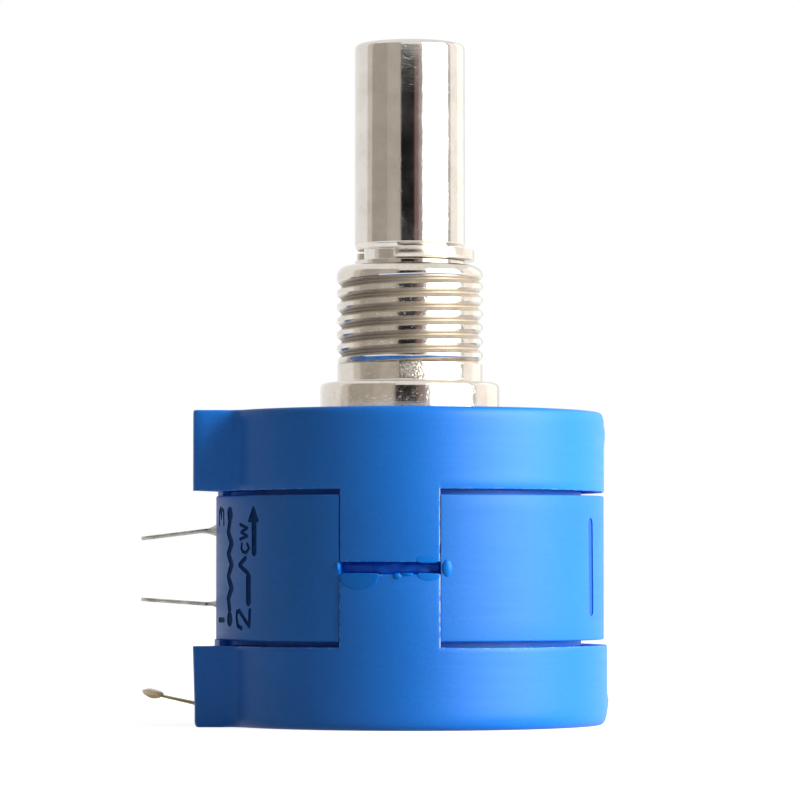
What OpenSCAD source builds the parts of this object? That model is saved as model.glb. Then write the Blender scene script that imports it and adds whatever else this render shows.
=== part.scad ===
// Multiturn potentiometer, in millimetres.
// The shaft points along +Z, the rear face lies on Z = 0 and the terminals point along -X.
// At rest the wiper is at the middle of its travel.

/* [Body] */
// Radius of the round body
body_r = 11.15; // [10.5:0.05:13]
// Height of the body, from its rear face to its front face
body_h = 17.8; // [17:0.1:22]
// Height of each cap's band
band_h = 4.55; // [4:0.05:5]
// Gap between each band and the housing's pad
band_gap = 0.25; // [0.1:0.05:0.5]
// Wall of the skirt that each cap puts round the housing
skirt_wall = 1.25; // [1:0.05:1.5]
// Thickness of each cap's end wall
cap_wall = 1.6; // [1.5:0.05:2]
// How far the rounding of a cap's rim reaches in from its side
rim_in = 0.3; // [0.1:0.05:0.6]
// How far the rounding of a cap's rim reaches along its side
rim_along = 0.75; // [0.2:0.05:1.2]

/* [Legs] */
// Angle that each leg spans
leg_angle = 29; // [15:1:40]
// Angle by which each leg is turned towards the terminals
leg_lean = 6; // [0:1:20]
// Gap between the tips of facing legs, which the cement fills
seam = 0.68; // [0.3:0.02:1.2]
// Angle of clearance beside each leg in its channel
leg_clear = 0.25; // [0.1:0.05:1]
// How deep the cement lies below the body's surface
cement_sink = 0.4; // [0.2:0.05:0.8]

/* [Terminal blocks] */
// How far each block stands out from the round body
block_out = 1.05; // [0.6:0.05:3]
// Width of each block
block_w = 10.4; // [8:0.2:12]
// Radius of the blend between a block and its band
block_blend = 1.3; // [0.6:0.1:2]
// Rounding of the outer edge of each block
block_round = 0.35; // [0.1:0.05:0.8]

/* [Terminals] */
// How far the terminals reach out from the round body
terminal_out = 4.25; // [3:0.05:8]
// Thickness of the terminals
terminal_t = 0.2; // [0.15:0.05:0.4]
// Width of the terminals
terminal_w = 1.6; // [1.4:0.1:2.4]
// Radius of the eyelet in each end terminal
eyelet_r = 0.45; // [0.3:0.05:0.6]
// Distance between the two end terminals where they leave the body
terminal_gap = 4.2; // [3.6:0.1:5]
// How far the middle of that distance lies in front of the body's middle
terminal_shift = 0.08; // [0:0.02:0.5]
// Tilt of the front end terminal, towards the rear face
tilt_3 = 7; // [0:1:12]
// Tilt of the rear end terminal, towards the shaft
tilt_1 = 4; // [0:1:12]
// Tilt of the wiper terminal, towards the shaft
tilt_2 = 13; // [0:1:15]
// Height of the wiper terminal's middle above the rear face, inside its block
wiper_terminal_z = 1.2; // [1:0.05:1.3]
// Outer radius of the curled tip of the wiper terminal
curl_r = 0.3; // [0.25:0.05:0.5]
// How far the moulded root stands out round each end terminal
root_out = 0.5; // [0.2:0.1:0.8]
// Half the height of that root at the housing
root_h = 0.35; // [0.2:0.05:0.6]

/* [Bushing] */
// Radius of the flange
flange_r = 5.15; // [5:0.05:7]
// Height of the flange
flange_h = 1.73; // [1:0.05:3]
// Rounding of the flange's front edge
flange_round = 0.35; // [0.1:0.05:0.6]
// Outer radius of the thread and of the plain shank under it
thread_r = 4.2; // [3.9:0.05:4.5]
// Height of the thread and the shank together
thread_h = 6.2; // [5:0.05:13]
// Least height of the plain shank
shank_h = 1.4; // [1:0.05:3]
// Distance from one thread crest to the next
thread_pitch = 0.79; // [0.6:0.01:1]
// Depth of the thread
thread_deep = 0.28; // [0.2:0.02:0.5]
// Width of each thread crest
crest_w = 0.25; // [0.05:0.01:0.3]
// Radius of the flat end of the bushing's nose
nose_r = 3.55; // [3.5:0.05:3.8]
// Height of the nose's rounded edge
nose_h = 0.55; // [0.3:0.05:0.8]
// Depth of the relief groove turned in the flange's front face, round the shank
relief_deep = 0.1; // [0.05:0.05:0.2]
// How far that groove reaches out past the thread
relief_over = 0.15; // [0.1:0.05:0.25]
// Radius of the spigot that passes through the front cap
spigot_r = 4.65; // [4.55:0.05:4.7]
// Radius of the rolled lip that holds the bushing in the front cap
lip_r = 5; // [4.9:0.05:6]
// Thickness of the rolled lip
lip_t = 0.5; // [0.3:0.05:0.7]

/* [Shaft] */
// Radius of the shaft
shaft_r = 3.175; // [3:0.025:3.3]
// How far the shaft's end stands in front of the body
shaft_reach = 21.25; // [20:0.25:40]
// Rounding of the shaft's end
shaft_round = 0.35; // [0.1:0.05:0.6]
// Distance from the bushing's nose to the retaining clip
clip_lift = 0.27; // [0.1:0.01:0.5]
// Thickness of the retaining clip
clip_t = 0.62; // [0.4:0.02:0.8]
// Outer radius of the retaining clip
clip_r = 3.7; // [3.5:0.05:4.2]
// Radius of the floor of the clip's groove
groove_r = 2.63; // [2.5:0.01:2.75]
// Angle of the clip's open mouth
clip_mouth = 98; // [60:2:120]
// Direction that the clip's mouth faces at rest
clip_turn = 205; // [0:5:355]
// Radius of the core that the rotor sits on
core_r = 2.4; // [2.2:0.05:2.6]
// Half the distance between the two flats on the core
core_flat = 2.1; // [1.8:0.05:2.2]
// Radius of the rear pivot
pivot_r = 1.5; // [1.2:0.05:1.8]

/* [Element] */
// Number of turns of the resistance element
turns = 10; // [5:1:10]
// Radius of the wound cord
cord_r = 0.36; // [0.3:0.01:0.38]
// Wall of the housing between its bore and its neck
neck_wall = 1.5; // [1.4:0.05:1.8]
// Angle that the cord runs on past each end of the wiper's travel
cord_over = 15; // [15:15:30]
// Angle that each end clip spans
end_clip_angle = 4; // [3:1:6]
// Wall between the bore and the upright of each end terminal
upright_cover = 0.6; // [0.5:0.05:0.7]

/* [Rotor] */
// Room behind the slip ring for the brush
brush_room = 1.15; // [1:0.05:1.5]
// Thickness of the slip ring
ring_t = 0.25; // [0.2:0.05:0.4]
// Width of the slip ring
ring_w = 2.4; // [1.6:0.1:2.8]
// Thickness of the thrust washer
washer_t = 0.3; // [0.2:0.05:0.5]
// Radius of the thrust washer
washer_r = 4.7; // [4.2:0.1:5.5]
// Room between the rotor and the cord
rotor_room = 0.95; // [0.8:0.05:1.5]
// Wall of the rotor in front of the slot
slot_end = 0.95; // [0.8:0.05:1.5]
// Width of the rotor's slot
slot_w = 3.4; // [3.2:0.1:4]
// Wall of the rotor between the shaft's core and the slot
slot_floor = 0.9; // [0.7:0.05:1.2]
// Depth of the rail grooves in the slot's sides
rail_d = 0.6; // [0.4:0.05:0.8]
// Height of the rail grooves
rail_h = 0.7; // [0.5:0.05:1]
// Distance from the slot's floor to the rail grooves
rail_up = 1.3; // [1:0.05:1.6]
// Length of the wiper carriage along the slot
carriage_h = 1.8; // [1.6:0.1:2.2]
// Thickness of the collector strip
strip_t = 0.2; // [0.15:0.05:0.3]
// Width of the collector strip
strip_w = 2; // [1.6:0.1:2.4]
// Thickness of the wiper contact
contact_t = 0.15; // [0.1:0.01:0.2]
// Width of the wiper contact
contact_w = 0.5; // [0.3:0.05:0.6]
// Thickness of the brush
brush_t = 0.12; // [0.1:0.01:0.2]
// Width of the brush
brush_w = 1.2; // [0.8:0.1:1.4]

/* [Mould mark] */
// Length of the groove moulded in the pad
mark_len = 5.4; // [4:0.1:6]
// Width of the groove
mark_w = 0.55; // [0.3:0.05:0.8]
// Depth of the groove
mark_deep = 0.3; // [0.1:0.05:0.5]
// Direction that the groove faces
mark_turn = 335; // [310:1:360]

/* [Fits] */
// Clearance between pieces that are seated tight
seat = 0.01; // [0.01:0.01:0.03]
// Radial clearance of the shaft in its two bearings
running = 0.03; // [0.02:0.01:0.06]
// Clearance of the carriage in the rotor's slot
sliding = 0.04; // [0.02:0.01:0.05]
// Clearance between the housing's necks and the skirts
neck_gap = 0.1; // [0.05:0.01:0.2]
// Clearance at the ends of pieces that turn or slide
end_play = 0.05; // [0.02:0.01:0.1]
// Clearance between a sliding contact and what it touches
touch = 0.03; // [0.02:0.01:0.05]

/* [Hidden] */
$fn = 96;

// Margin by which a cutting shape runs past what it cuts
past = 1;

// Radii of the shells, from outside to inside
skirt_r = body_r - skirt_wall;
neck_r = skirt_r - neck_gap;
bore_r = neck_r - neck_wall;
path_r = bore_r - seat - cord_r;
cord_in = path_r - cord_r;
rotor_r = cord_in - rotor_room;

// Heights of the body
inner_z0 = cap_wall;
inner_z1 = body_h - cap_wall;
mid_z = body_h / 2;
pad_z0 = band_h + band_gap;
pad_h = body_h - 2 * pad_z0;
leg_h = mid_z - seam / 2;

// Heights of the bushing, counted from the body's front face
flange_z = body_h + flange_h;
collar_z = flange_z + thread_h;
thread_grooves = floor((thread_h - shank_h) / thread_pitch);
thread_mouth = thread_pitch - crest_w;
relief_r = thread_r + relief_over;
nose_z = collar_z + nose_h;

// Heights of the shaft
clip_z = nose_z + clip_lift;
groove_top_z = clip_z + clip_t + seat;
shaft_z = body_h + shaft_reach;

// Heights of the rotor and of the wiper's travel
ring_z = inner_z0 + brush_room;
rotor_z0 = ring_z + ring_t;
rotor_z1 = inner_z1 - end_play - washer_t;
slot_z1 = rotor_z1 - slot_end;
travel = slot_z1 - rotor_z0 - carriage_h - 2 * end_play;
rest_z = (slot_z1 + rotor_z0) / 2;
pitch = travel / turns;
boss_z = rotor_z0 - end_play;

// Pivot boss and slip ring
boss_wall = 0.6;
boss_r = pivot_r + boss_wall;
pivot_z = cap_wall / 2;
ring_clear = 0.2;
ring_in = core_r + ring_clear;
ring_out = ring_in + ring_w;

// The cord has eight sides and a ring every few degrees
cord_sides = 8;
cord_angle = 15;
cord_rings = (360 * turns + 2 * cord_over) / cord_angle;
cord_corner = cord_r / cos(180 / cord_sides);

// The wiper faces the terminals at rest
wiper_turn = 180;

// Distances from the axis in the rotor's slot
floor_x = core_r + slot_floor;
rail_x = floor_x + rail_up;
carriage_x0 = floor_x + strip_t + sliding;
cord_room = 0.55;
carriage_x1 = cord_in - cord_room;

// The guide's lips straddle the cord
guide_w = 0.8;
guide_y = -0.9;
lip_reach = 0.08;
groove_clear = 0.26;
mouth_clear = 0.1;
lip_over = 0.05;
guide_x = cord_in + lip_reach;
groove_x = cord_in - groove_clear;
mouth_h = cord_r + mouth_clear;
groove_h = cord_r / 2;

// The wiper contact stands beside the guide
contact_y = 0.55;
contact_clear = 0.13;
contact_x = cord_in - contact_clear;
dimple_h = 0.08;
contact_h = 1.35;

// End terminals: where they leave the housing, and their uprights inside it
terminal_z1 = mid_z + terminal_shift - terminal_gap / 2;
terminal_z3 = mid_z + terminal_shift + terminal_gap / 2;
upright_x = bore_r + upright_cover;
upright_t = terminal_t;
end_clip_turn = cord_over + end_clip_angle / 2;
upright_y = upright_x * tan(cord_over + end_clip_angle);
cord_end_z = travel / 2 + pitch * cord_over / 360;

// Wiper terminal and brush
wiper_top_z = wiper_terminal_z + terminal_t / 2;
wiper_bottom_z = wiper_terminal_z - terminal_t / 2;
ring_margin = 0.3;
wiper_in_x = ring_out + ring_margin;
brush_seat = 1.1;
brush_tip = 0.3;
bend_room = 0.45;

// The two legs of a cap face these directions
leg_turns = [90 + leg_lean, -90 - leg_lean];

// A tube or a solid ring of rectangular section, over part of a turn
module sector(r0, r1, z, h, turn, span) {
    rotate([0, 0, turn - span / 2])
        rotate_extrude(angle = span)
            translate([r0, z])
                square([r1 - r0, h]);
}

// A box given by its lowest and highest corners
module block(low, high) {
    translate(low)
        cube(high - low);
}

// A flat profile in X and Z, w wide and centred on y
module side_profile(points, w, y = 0) {
    translate([0, y + w / 2, 0])
        rotate([90, 0, 0])
            linear_extrude(w)
                polygon(points);
}

// The region between a block's side, the band and the circle that blends them
module blend_corner() {
    cx = -sqrt(pow(body_r + block_blend, 2) - pow(block_w / 2 + block_blend, 2));
    cy = block_w / 2 + block_blend;
    inside = block_blend / 2;
    band = body_r / (body_r + block_blend);
    difference() {
        polygon([[cx, cy], [cx, cy - block_blend - inside], [cx + block_blend + inside, block_w / 2],
            [cx * band + inside, cy * band - inside], [cx * band, cy * band]]);
        translate([cx, cy + seat])
            circle(block_blend);
    }
}

// Terminal block, which runs on into the band
module terminal_block() {
    reach = body_r + block_out;
    difference() {
        linear_extrude(band_h) {
            translate([-reach, -block_w / 2])
                square([reach - neck_r + past, block_w]);
            blend_corner();
            mirror([0, 1])
                blend_corner();
        }
        translate([block_round - reach, block_w, block_round])
            rotate([90, 0, 0])
                linear_extrude(2 * block_w)
                    difference() {
                        translate([-block_round - past, -block_round - past])
                            square(block_round + past);
                        circle(block_round);
                    }
    }
}

// Half section of a cap, solid to its legs' tips, with its rounded rim
module cap_section() {
    steps = 6;
    rim = [for (i = [0:steps]) let (a = 90 * i / steps)
        [body_r - rim_in * (1 - sin(a)), rim_along * (1 - cos(a))]];
    polygon(concat([[0, 0]], rim, [[body_r, leg_h], [0, leg_h]]));
}

// What both caps share: end wall, skirt, terminal block and two legs, seen as the rear cap
module cap_shell() {
    near_span = 180 - 2 * leg_lean - leg_angle;
    far_span = 180 + 2 * leg_lean - leg_angle;
    difference() {
        union() {
            rotate_extrude()
                cap_section();
            terminal_block();
        }
        translate([0, 0, cap_wall])
            cylinder(r = skirt_r, h = body_h);
        sector(skirt_r - past, body_r + past, band_h, body_h, 180, near_span);
        sector(skirt_r - past, body_r + past, band_h, body_h, 0, far_span);
    }
}

module front_cap() {
    color([0.08, 0.33, 0.67])
        difference() {
            translate([0, 0, body_h])
                mirror([0, 0, 1])
                    cap_shell();
            translate([0, 0, inner_z1 - past])
                cylinder(r = spigot_r + seat, h = cap_wall + 2 * past);
            translate([0, 0, inner_z1 - past])
                cylinder(r = lip_r + seat, h = lip_t + past);
        }
}

module rear_cap() {
    color([0.08, 0.33, 0.67])
        difference() {
            union() {
                cap_shell();
                cylinder(r = boss_r, h = boss_z);
            }
            translate([0, 0, pivot_z])
                cylinder(r = pivot_r + running, h = boss_z);
            // Bed of the wiper terminal, open towards the rotor
            block([-skirt_r, -terminal_w / 2 - seat, wiper_bottom_z - seat],
                [bend_room - wiper_in_x, terminal_w / 2 + seat, cap_wall + past]);
            // Its way out through the block
            block([-body_r - block_out - past, -terminal_w / 2 - seat, wiper_bottom_z - seat],
                [-skirt_r + past, terminal_w / 2 + seat, wiper_top_z + seat]);
        }
}

// Moulded root round an end terminal, on the pad
module terminal_root(z) {
    side_profile([[past - body_r, z - root_h], [-body_r, z - root_h], [-body_r - root_out, z - terminal_t],
        [-body_r - root_out, z + terminal_t], [-body_r, z + root_h], [past - body_r, z + root_h]],
        terminal_w + 2 * root_h);
}

// Tab from the end of the cord out to the upright of an end terminal, larger by gap all round
module end_clip_shape(way, r0, gap) {
    end_z = rest_z + way * cord_end_z;
    difference() {
        sector(r0, neck_r, end_z - cord_r - gap, 2 * (cord_r + gap), wiper_turn - way * end_clip_turn,
            end_clip_angle + gap);
        block([-body_r, -body_r, 0], [-upright_x, body_r, body_h]);
    }
}

// Upright of the end terminal that leaves the housing at z, larger by gap all round. It reaches from the
// terminal to the end clip; way is 1 at the front and -1 at the rear.
module upright(z, way, gap) {
    end_z = rest_z + way * cord_end_z;
    low = min(z, end_z - cord_r * (1 - way) / 2) - terminal_t / 2 - gap;
    high = max(z, end_z + cord_r * (1 + way) / 2) + terminal_t / 2 + gap;
    side = way > 0 ? [-terminal_w / 2, upright_y] : [-upright_y, terminal_w / 2];
    block([-upright_x - upright_t - gap, side[0] - gap, low], [gap - upright_x, side[1] + gap, high]);
}

// Room for an end terminal, its upright and its end clip
module terminal_room(z, way) {
    upright(z, way, seat);
    block([-body_r - root_out - past, -terminal_w / 2 - seat, z - terminal_t / 2 - seat],
        [-upright_x, terminal_w / 2 + seat, z + terminal_t / 2 + seat]);
    end_clip_shape(way, bore_r - past, seat);
}

// The housing's pad, with a channel for each leg
module pad() {
    difference() {
        translate([0, 0, pad_z0])
            cylinder(r = body_r, h = pad_h);
        for (turn = leg_turns)
            sector(neck_r - past, body_r + past, pad_z0 - past, pad_h + 2 * past, turn,
                leg_angle + 2 * leg_clear);
    }
}

// Long groove with round ends, moulded in the pad
module mould_mark() {
    rotate([0, 0, mark_turn])
        translate([body_r - mark_deep, 0, mid_z])
            rotate([0, 90, 0])
                linear_extrude(mark_deep + past) {
                    square([mark_len - mark_w, mark_w], center = true);
                    for (end = [-1, 1])
                        translate([end * (mark_len - mark_w) / 2, 0])
                            circle(mark_w / 2);
                }
}

module element_housing() {
    color([0.1, 0.36, 0.7])
        difference() {
            union() {
                translate([0, 0, inner_z0])
                    cylinder(r = neck_r, h = inner_z1 - inner_z0);
                pad();
                terminal_root(terminal_z1);
                terminal_root(terminal_z3);
            }
            translate([0, 0, inner_z0 - past])
                cylinder(r = bore_r, h = inner_z1 - inner_z0 + 2 * past);
            terminal_room(terminal_z1, -1);
            terminal_room(terminal_z3, 1);
            mould_mark();
        }
}

// Cement in the seam between two facing legs
module seam_cement(turn) {
    color([0.05, 0.2, 0.45])
        sector(skirt_r, body_r - cement_sink, mid_z - seam / 2, seam, turn, leg_angle);
}

module seam_cement_front() {
    seam_cement(leg_turns[1]);
}

module seam_cement_back() {
    seam_cement(leg_turns[0]);
}

// The thread is a row of V grooves round the bushing, in place of one helix
module bushing() {
    steps = 6;
    thread = [for (i = [thread_grooves - 1:-1:0]) let (top = collar_z - crest_w - i * thread_pitch)
        for (corner = [[thread_r, top - thread_mouth], [thread_r - thread_deep, top - thread_mouth / 2],
            [thread_r, top]]) corner];
    flange_edge = [for (i = [0:steps]) let (a = 90 * i / steps)
        [flange_r - flange_round * (1 - cos(a)), flange_z - flange_round * (1 - sin(a))]];
    nose_edge = [for (i = [0:steps]) let (a = 90 * i / steps)
        [nose_r + (thread_r - nose_r) * cos(a), collar_z + nose_h * sin(a)]];
    color([0.78, 0.75, 0.7])
        rotate_extrude()
            polygon(concat([[shaft_r + running, inner_z1], [lip_r, inner_z1], [lip_r, inner_z1 + lip_t],
                [spigot_r, inner_z1 + lip_t], [spigot_r, body_h], [flange_r, body_h]], flange_edge,
                [[relief_r, flange_z], [relief_r, flange_z - relief_deep],
                [thread_r, flange_z - relief_deep]],
                thread, nose_edge, [[shaft_r + running, nose_z]]));
}

module shaft() {
    steps = 6;
    tip = [for (i = [0:steps]) let (a = 90 * i / steps)
        [shaft_r - shaft_round * (1 - cos(a)), shaft_z - shaft_round * (1 - sin(a))]];
    color([0.8, 0.78, 0.75])
        difference() {
            rotate_extrude()
                polygon(concat([[0, pivot_z + end_play], [pivot_r, pivot_z + end_play],
                    [pivot_r, rotor_z0], [core_r, rotor_z0], [core_r, rotor_z1], [shaft_r, rotor_z1],
                    [shaft_r, clip_z - seat], [groove_r, clip_z - seat], [groove_r, groove_top_z],
                    [shaft_r, groove_top_z]], tip, [[0, shaft_z]]));
            for (way = [-1, 1])
                translate([-core_r, way > 0 ? core_flat : -core_flat - past, rotor_z0])
                    cube([2 * core_r, past, rotor_z1 - rotor_z0]);
        }
}

module retaining_clip() {
    band = clip_r - groove_r - seat;
    mid_r = groove_r + seat + band / 2;
    color([0.75, 0.72, 0.66])
        translate([0, 0, clip_z])
            rotate([0, 0, clip_turn]) {
                rotate([0, 0, clip_mouth / 2])
                    rotate_extrude(angle = 360 - clip_mouth)
                        translate([groove_r + seat, 0])
                            square([band, clip_t]);
                for (way = [-1, 1])
                    rotate([0, 0, way * clip_mouth / 2])
                        translate([mid_r, 0, 0])
                            cylinder(r = band / 2, h = clip_t);
            }
}

module thrust_washer() {
    color([0.85, 0.83, 0.76])
        translate([0, 0, rotor_z1])
            difference() {
                cylinder(r = washer_r, h = washer_t);
                translate([0, 0, -past])
                    cylinder(r = shaft_r + seat, h = washer_t + 2 * past);
            }
}

// Section of the rotor's slot with its two rail grooves, or of the carriage that is smaller by gap
module slot_section(x0, x1, gap) {
    translate([x0, gap - slot_w / 2])
        square([x1 - x0, slot_w - 2 * gap]);
    translate([rail_x + gap, gap - slot_w / 2 - rail_d])
        square([rail_h - 2 * gap, slot_w + 2 * (rail_d - gap)]);
}

module rotor() {
    color([0.16, 0.16, 0.17])
        difference() {
            translate([0, 0, rotor_z0])
                cylinder(r = rotor_r, h = rotor_z1 - rotor_z0);
            intersection() {
                translate([0, 0, rotor_z0 - past])
                    cylinder(r = core_r + seat, h = rotor_z1 - rotor_z0 + 2 * past);
                block([-2 * core_r, -core_flat - seat, 0], [2 * core_r, core_flat + seat, body_h]);
            }
            rotate([0, 0, wiper_turn])
                translate([0, 0, rotor_z0 - past])
                    linear_extrude(slot_z1 - rotor_z0 + past)
                        slot_section(floor_x, rotor_r + past, 0);
        }
}

module slip_ring() {
    color([0.83, 0.68, 0.36])
        translate([0, 0, ring_z])
            difference() {
                cylinder(r = ring_out, h = ring_t);
                translate([0, 0, -past])
                    cylinder(r = ring_in, h = ring_t + 2 * past);
            }
}

module collector_strip() {
    color([0.83, 0.68, 0.36])
        rotate([0, 0, wiper_turn])
            block([floor_x, -strip_w / 2, rotor_z0], [floor_x + strip_t, strip_w / 2, slot_z1]);
}

module wiper_carriage() {
    lip_h = pitch / 2 + lip_over;
    color([0.88, 0.87, 0.82])
        rotate([0, 0, wiper_turn])
            translate([0, 0, rest_z])
                difference() {
                    union() {
                        translate([0, 0, -carriage_h / 2])
                            linear_extrude(carriage_h)
                                slot_section(carriage_x0, carriage_x1, sliding);
                        side_profile([[carriage_x1 - past, -lip_h], [guide_x, -lip_h],
                            [guide_x, -mouth_h], [groove_x, -groove_h], [groove_x, groove_h],
                            [guide_x, mouth_h], [guide_x, lip_h], [carriage_x1 - past, lip_h]],
                            guide_w, guide_y);
                    }
                    block([carriage_x0 - past, contact_y - contact_w / 2 - seat,
                        -contact_h / 2 - contact_t],
                        [guide_x + past, contact_y + contact_w / 2 + seat, contact_h / 2]);
                }
}

module wiper_contact() {
    x0 = floor_x + strip_t + touch;
    back = carriage_x1 + contact_t;
    h = contact_h / 2 - seat;
    color([0.85, 0.7, 0.4])
        rotate([0, 0, wiper_turn])
            translate([0, 0, rest_z])
                side_profile([[x0, -h - contact_t], [back, -h - contact_t], [contact_x, -dimple_h],
                    [contact_x, dimple_h], [back + contact_t, h], [back, h],
                    [contact_x - contact_t, dimple_h], [contact_x - contact_t, -dimple_h],
                    [back - contact_t, -h], [x0 + contact_t, -h], [x0 + contact_t, h], [x0, h]],
                    contact_w, contact_y);
}

// Corner number side of the cord's ring number ring
function cord_point(ring, side) =
    let (along = ring * cord_angle - cord_over - 180 * turns,
        a = 360 * (side + 0.5) / cord_sides,
        r = path_r + cord_corner * cos(a),
        z = rest_z - pitch * along / 360 + cord_corner * sin(a))
    [r * cos(wiper_turn + along), r * sin(wiper_turn + along), z];

module resistance_element() {
    n = cord_sides;
    points = [for (ring = [0:cord_rings]) for (side = [0:n - 1]) cord_point(ring, side)];
    walls = [for (ring = [0:cord_rings - 1]) for (side = [0:n - 1])
        let (a = ring * n + side, b = ring * n + (side + 1) % n)
        for (face = [[a, b, b + n], [a, b + n, a + n]]) face];
    first = [for (side = [1:n - 2]) [0, side + 1, side]];
    last = [for (side = [1:n - 2]) [0, side, side + 1] + [1, 1, 1] * cord_rings * n];
    color([0.72, 0.66, 0.55])
        polyhedron(points, concat(first, walls, last));
}

module element_clip_front() {
    color([0.8, 0.78, 0.74])
        end_clip_shape(1, cord_in, 0);
}

module element_clip_rear() {
    color([0.8, 0.78, 0.74])
        end_clip_shape(-1, cord_in, 0);
}

// Outside part of a terminal: a tongue with a round end, tilted about where it leaves
module tongue(x, z, tilt, reach, hole) {
    tip = reach / cos(tilt) - terminal_w / 2;
    translate([-x, 0, z])
        rotate([0, tilt, 0])
            translate([0, 0, -terminal_t / 2])
                linear_extrude(terminal_t)
                    difference() {
                        union() {
                            translate([-tip, -terminal_w / 2])
                                square([tip + terminal_t / 2, terminal_w]);
                            translate([-tip, 0])
                                circle(terminal_w / 2);
                        }
                        translate([-tip, 0])
                            circle(hole);
                    }
}

// End terminal: tongue, straight stretch through the wall, and upright to the end clip
module end_terminal(z, way, tilt) {
    leave = body_r + root_out;
    color([0.72, 0.72, 0.72]) {
        block([-leave, -terminal_w / 2, z - terminal_t / 2],
            [-upright_x - upright_t / 2, terminal_w / 2, z + terminal_t / 2]);
        upright(z, way, 0);
        tongue(leave, z, tilt, terminal_out - root_out, eyelet_r);
    }
}

module terminal_1() {
    end_terminal(terminal_z1, -1, tilt_1);
}

module terminal_3() {
    end_terminal(terminal_z3, 1, -tilt_3);
}

module terminal_2() {
    leave = body_r + block_out;
    reach = terminal_out - block_out - curl_r;
    color([0.75, 0.65, 0.42]) {
        block([-leave, -terminal_w / 2, wiper_bottom_z], [-wiper_in_x, terminal_w / 2, wiper_top_z]);
        translate([-leave, 0, wiper_terminal_z])
            rotate([0, tilt_2, 0]) {
                block([-reach, -terminal_w / 2, -terminal_t / 2],
                    [terminal_t / 2, terminal_w / 2, terminal_t / 2]);
                translate([-reach, terminal_w / 2, terminal_t / 2 - curl_r])
                    rotate([90, 0, 0])
                        cylinder(r = curl_r, h = terminal_w);
            }
    }
}

module brush() {
    z0 = wiper_top_z;
    z1 = ring_z - touch;
    tip = (ring_in + ring_out) / 2;
    root = wiper_in_x + brush_seat;
    color([0.85, 0.7, 0.4])
        side_profile([[-root, z0], [-wiper_in_x, z0], [-tip - brush_tip, z1 - brush_t],
            [brush_tip - tip, z1 - brush_t], [brush_tip - tip, z1], [-tip - brush_tip - brush_t / 2, z1],
            [-wiper_in_x - brush_t / 2, z0 + brush_t], [-root, z0 + brush_t]], brush_w);
}

front_cap();
rear_cap();
element_housing();
seam_cement_front();
seam_cement_back();
bushing();
shaft();
retaining_clip();
thrust_washer();
rotor();
slip_ring();
collector_strip();
wiper_carriage();
wiper_contact();
resistance_element();
element_clip_front();
element_clip_rear();
terminal_1();
terminal_2();
terminal_3();
brush();
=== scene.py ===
# %% [markdown]
# # A ten-turn potentiometer
# This lesson dresses the solids of a small wirewound potentiometer: a blue moulded body, a nickel-plated
# bushing and shaft, and three solder terminals. Each new piece is made over one of the solids in
# millimetres, and shrunk to metres when it is done.

import math

import bmesh
import bpy
from mathutils import Matrix, Vector, noise


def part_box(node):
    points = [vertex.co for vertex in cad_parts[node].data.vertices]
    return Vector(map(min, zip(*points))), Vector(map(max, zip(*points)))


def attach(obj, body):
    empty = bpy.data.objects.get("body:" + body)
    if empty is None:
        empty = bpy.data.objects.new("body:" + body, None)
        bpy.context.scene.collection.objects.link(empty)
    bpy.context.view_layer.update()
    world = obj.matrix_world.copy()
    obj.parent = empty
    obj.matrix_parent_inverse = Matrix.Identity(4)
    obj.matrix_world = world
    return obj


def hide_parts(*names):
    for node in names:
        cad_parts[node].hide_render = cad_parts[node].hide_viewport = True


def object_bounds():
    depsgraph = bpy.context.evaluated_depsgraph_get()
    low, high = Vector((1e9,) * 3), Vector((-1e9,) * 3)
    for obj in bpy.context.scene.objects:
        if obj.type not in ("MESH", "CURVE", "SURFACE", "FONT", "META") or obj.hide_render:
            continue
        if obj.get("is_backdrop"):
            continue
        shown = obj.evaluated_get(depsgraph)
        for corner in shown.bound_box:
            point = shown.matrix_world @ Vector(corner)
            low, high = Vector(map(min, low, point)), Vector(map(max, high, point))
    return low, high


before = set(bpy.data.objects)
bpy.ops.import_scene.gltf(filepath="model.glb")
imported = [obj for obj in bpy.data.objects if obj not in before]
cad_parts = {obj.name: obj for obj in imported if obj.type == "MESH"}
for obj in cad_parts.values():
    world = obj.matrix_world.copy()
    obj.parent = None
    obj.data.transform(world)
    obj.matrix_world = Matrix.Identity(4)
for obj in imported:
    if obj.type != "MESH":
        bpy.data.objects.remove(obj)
cad_low, cad_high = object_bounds()
MM = 0.001
print("the solids are", round((cad_high[2] - cad_low[2]) / MM, 2), "mm high")

# %% [markdown]
# ## The camera
# A small part is seen through a long lens from close by, so its sides stay nearly parallel. The lens
# stands a little above the bench and looks slightly up, which lets the body's rims bow gently.


# %% Camera
def placed(name, data):
    """A new object in the scene that holds the data."""
    made = bpy.data.objects.new(name, data)
    bpy.context.scene.collection.objects.link(made)
    return made


camera_data = bpy.data.cameras.new("bench_camera")
camera_data.sensor_width = 36
camera_data.lens = 188.2
camera = placed("bench_camera", camera_data)
camera.location = (-0.57 * MM, -240 * MM, 8.35 * MM)
camera.rotation_euler = (math.radians(92.44), 0, 0)
bpy.context.scene.camera = camera
print("the lens stands", round(-camera.location.y / MM), "mm in front of the axis")

# %% [markdown]
# ## Colours and nodes
# Colours are written as the hex values that a screen shows. Shaders work with linear light, so one
# function turns each value. A second one adds a shader node, sets it up and links it.


# %% Colour and node helpers
def linear(text):
    """A hex colour as linear red, green, blue and alpha."""
    parts = [int(text[i:i + 2], 16) / 255 for i in (0, 2, 4)]
    return [p / 12.92 if p <= 0.04045 else ((p + 0.055) / 1.055) ** 2.4 for p in parts] + [1]


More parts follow.
